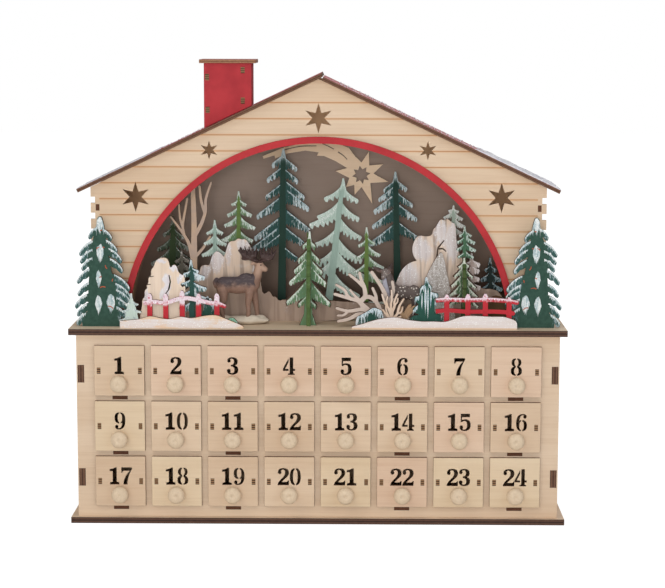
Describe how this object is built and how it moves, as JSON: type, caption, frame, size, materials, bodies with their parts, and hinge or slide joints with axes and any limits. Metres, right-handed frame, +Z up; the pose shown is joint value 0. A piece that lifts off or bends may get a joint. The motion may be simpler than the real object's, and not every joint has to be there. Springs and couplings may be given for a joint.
{
  "type": "advent calendar",
  "caption": "Wooden advent calendar: a cabinet of numbered pull-out drawers under a gabled house front whose arch frames a winter forest.",
  "frame": {"origin": "centre of the base board's underside, on the surface it stands on", "axes": "+X to the right seen from the front, +Y from the drawers to the back, +Z up; the drawers pull out along -Y"},
  "size_m": [0.395, 0.111, 0.369],
  "materials": {
    "birch_plywood": "bare pale birch plywood, laser cut with burnt brown edges",
    "edge_board": "bare plywood board, its layered edge burnt dark brown",
    "drawer_wood": "bare birch drawer with cut-out numerals and a turned pale knob",
    "red_paint": "thin matt red paint, grain showing",
    "roof_paint": "matt red paint with glittering snow along the eaves",
    "backdrop_paint": "matt taupe paint inside, bare plywood outside",
    "fir_paint": "matt dark green paint with white brush strokes and burnt edges",
    "leaf_paint": "matt olive green paint with white brush strokes and burnt edges",
    "mint_paint": "matt pale mint paint with white strokes",
    "snow_paint": "cream and white paint with glitter, red fence",
    "rock_plywood": "bare plywood with white glitter strokes",
    "deer_resin": "cast resin, painted brown, on a cream foot"
  },
  "bodies": {
    "calendar_body": {"base_board": "edge_board", "deck_board": "edge_board", "cabinet_front": "birch_plywood", "cabinet_back": "birch_plywood", "cabinet_side_left": "birch_plywood", "cabinet_side_right": "birch_plywood", "shelf_1": "birch_plywood", "shelf_2": "birch_plywood", "shelf_3": "birch_plywood", "divider_1": "birch_plywood", "divider_2": "birch_plywood", "divider_3": "birch_plywood", "divider_4": "birch_plywood", "divider_5": "birch_plywood", "divider_6": "birch_plywood", "divider_7": "birch_plywood", "house_front": "birch_plywood", "arch_band": "red_paint", "house_back": "backdrop_paint", "house_side_left": "birch_plywood", "house_side_right": "birch_plywood", "roof_left": "roof_paint", "roof_right": "roof_paint", "chimney_stack": "red_paint", "chimney_cap": "red_paint", "corner_tree_left": "fir_paint", "corner_tree_right": "fir_paint", "centre_tree": "leaf_paint", "garden_left": "snow_paint", "garden_right": "snow_paint", "rock_ridge": "rock_plywood", "middle_forest": "mint_paint", "rear_forest": "fir_paint", "comet_star": "birch_plywood", "stag_figure": "deer_resin", "fawn_figure": "deer_resin"},
    "drawer_01_body": {"drawer_01": "drawer_wood"},
    "drawer_02_body": {"drawer_02": "drawer_wood"},
    "drawer_03_body": {"drawer_03": "drawer_wood"},
    "drawer_04_body": {"drawer_04": "drawer_wood"},
    "drawer_05_body": {"drawer_05": "drawer_wood"},
    "drawer_06_body": {"drawer_06": "drawer_wood"},
    "drawer_07_body": {"drawer_07": "drawer_wood"},
    "drawer_08_body": {"drawer_08": "drawer_wood"},
    "drawer_09_body": {"drawer_09": "drawer_wood"},
    "drawer_10_body": {"drawer_10": "drawer_wood"},
    "drawer_11_body": {"drawer_11": "drawer_wood"},
    "drawer_12_body": {"drawer_12": "drawer_wood"},
    "drawer_13_body": {"drawer_13": "drawer_wood"},
    "drawer_14_body": {"drawer_14": "drawer_wood"},
    "drawer_15_body": {"drawer_15": "drawer_wood"},
    "drawer_16_body": {"drawer_16": "drawer_wood"},
    "drawer_17_body": {"drawer_17": "drawer_wood"},
    "drawer_18_body": {"drawer_18": "drawer_wood"},
    "drawer_19_body": {"drawer_19": "drawer_wood"},
    "drawer_20_body": {"drawer_20": "drawer_wood"},
    "drawer_21_body": {"drawer_21": "drawer_wood"},
    "drawer_22_body": {"drawer_22": "drawer_wood"},
    "drawer_23_body": {"drawer_23": "drawer_wood"},
    "drawer_24_body": {"drawer_24": "drawer_wood"}
  },
  "joints": [
    {"name": "drawer_01_slide", "type": "slide", "parent": "calendar_body", "child": "drawer_01_body", "axis": [0, -1, 0], "range_m": [0, 0.07]},
    {"name": "drawer_02_slide", "type": "slide", "parent": "calendar_body", "child": "drawer_02_body", "axis": [0, -1, 0], "range_m": [0, 0.07]},
    {"name": "drawer_03_slide", "type": "slide", "parent": "calendar_body", "child": "drawer_03_body", "axis": [0, -1, 0], "range_m": [0, 0.07]},
    {"name": "drawer_04_slide", "type": "slide", "parent": "calendar_body", "child": "drawer_04_body", "axis": [0, -1, 0], "range_m": [0, 0.07]},
    {"name": "drawer_05_slide", "type": "slide", "parent": "calendar_body", "child": "drawer_05_body", "axis": [0, -1, 0], "range_m": [0, 0.07]},
    {"name": "drawer_06_slide", "type": "slide", "parent": "calendar_body", "child": "drawer_06_body", "axis": [0, -1, 0], "range_m": [0, 0.07]},
    {"name": "drawer_07_slide", "type": "slide", "parent": "calendar_body", "child": "drawer_07_body", "axis": [0, -1, 0], "range_m": [0, 0.07]},
    {"name": "drawer_08_slide", "type": "slide", "parent": "calendar_body", "child": "drawer_08_body", "axis": [0, -1, 0], "range_m": [0, 0.07]},
    {"name": "drawer_09_slide", "type": "slide", "parent": "calendar_body", "child": "drawer_09_body", "axis": [0, -1, 0], "range_m": [0, 0.07]},
    {"name": "drawer_10_slide", "type": "slide", "parent": "calendar_body", "child": "drawer_10_body", "axis": [0, -1, 0], "range_m": [0, 0.07]},
    {"name": "drawer_11_slide", "type": "slide", "parent": "calendar_body", "child": "drawer_11_body", "axis": [0, -1, 0], "range_m": [0, 0.07]},
    {"name": "drawer_12_slide", "type": "slide", "parent": "calendar_body", "child": "drawer_12_body", "axis": [0, -1, 0], "range_m": [0, 0.07]},
    {"name": "drawer_13_slide", "type": "slide", "parent": "calendar_body", "child": "drawer_13_body", "axis": [0, -1, 0], "range_m": [0, 0.07]},
    {"name": "drawer_14_slide", "type": "slide", "parent": "calendar_body", "child": "drawer_14_body", "axis": [0, -1, 0], "range_m": [0, 0.07]},
    {"name": "drawer_15_slide", "type": "slide", "parent": "calendar_body", "child": "drawer_15_body", "axis": [0, -1, 0], "range_m": [0, 0.07]},
    {"name": "drawer_16_slide", "type": "slide", "parent": "calendar_body", "child": "drawer_16_body", "axis": [0, -1, 0], "range_m": [0, 0.07]},
    {"name": "drawer_17_slide", "type": "slide", "parent": "calendar_body", "child": "drawer_17_body", "axis": [0, -1, 0], "range_m": [0, 0.07]},
    {"name": "drawer_18_slide", "type": "slide", "parent": "calendar_body", "child": "drawer_18_body", "axis": [0, -1, 0], "range_m": [0, 0.07]},
    {"name": "drawer_19_slide", "type": "slide", "parent": "calendar_body", "child": "drawer_19_body", "axis": [0, -1, 0], "range_m": [0, 0.07]},
    {"name": "drawer_20_slide", "type": "slide", "parent": "calendar_body", "child": "drawer_20_body", "axis": [0, -1, 0], "range_m": [0, 0.07]},
    {"name": "drawer_21_slide", "type": "slide", "parent": "calendar_body", "child": "drawer_21_body", "axis": [0, -1, 0], "range_m": [0, 0.07]},
    {"name": "drawer_22_slide", "type": "slide", "parent": "calendar_body", "child": "drawer_22_body", "axis": [0, -1, 0], "range_m": [0, 0.07]},
    {"name": "drawer_23_slide", "type": "slide", "parent": "calendar_body", "child": "drawer_23_body", "axis": [0, -1, 0], "range_m": [0, 0.07]},
    {"name": "drawer_24_slide", "type": "slide", "parent": "calendar_body", "child": "drawer_24_body", "axis": [0, -1, 0], "range_m": [0, 0.07]}
  ]
}
